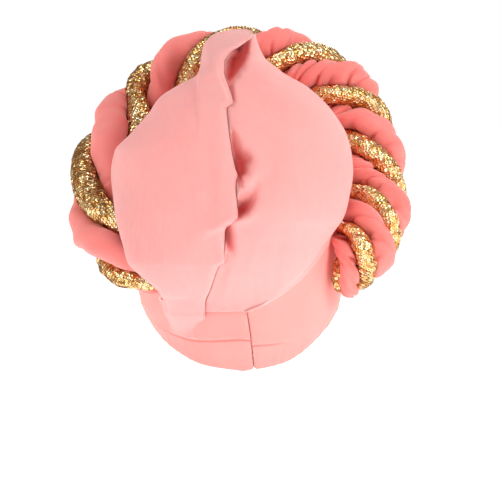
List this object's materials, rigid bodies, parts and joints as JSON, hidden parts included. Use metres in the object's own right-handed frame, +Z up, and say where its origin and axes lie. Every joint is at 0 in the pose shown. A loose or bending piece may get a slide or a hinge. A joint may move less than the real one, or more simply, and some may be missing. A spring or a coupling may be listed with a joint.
{
  "type": "turban cap",
  "caption": "Ready-tied turban cap: stretch crown, puffed back pouch with an upright fold, low nape band and a thick rope of padded cloth and sequin strands round the top.",
  "frame": {"origin": "the highest point inside the crown, where the cap sits on a head", "axes": "+Z up, +Y to the wearer's face, +X to the wearer's right-hand side as seen from behind"},
  "size_m": [0.26, 0.2148, 0.2571],
  "materials": {
    "crown_cloth": "smooth crepe",
    "band_cloth": "smooth crepe",
    "pouch_cloth": "smooth crepe",
    "strand_cloth": "gathered crepe",
    "sequin_gold": "cloth covered with champagne gold sequins"
  },
  "bodies": {
    "root": {"crown": "crown_cloth", "nape_band_left": "band_cloth", "nape_band_right": "band_cloth", "pouch_left_panel": "pouch_cloth", "pouch_right_lobe": "pouch_cloth", "pink_strand_1": "strand_cloth", "pink_strand_2": "strand_cloth", "gold_strand_1": "sequin_gold", "gold_strand_2": "sequin_gold"}
  },
  "joints": []
}
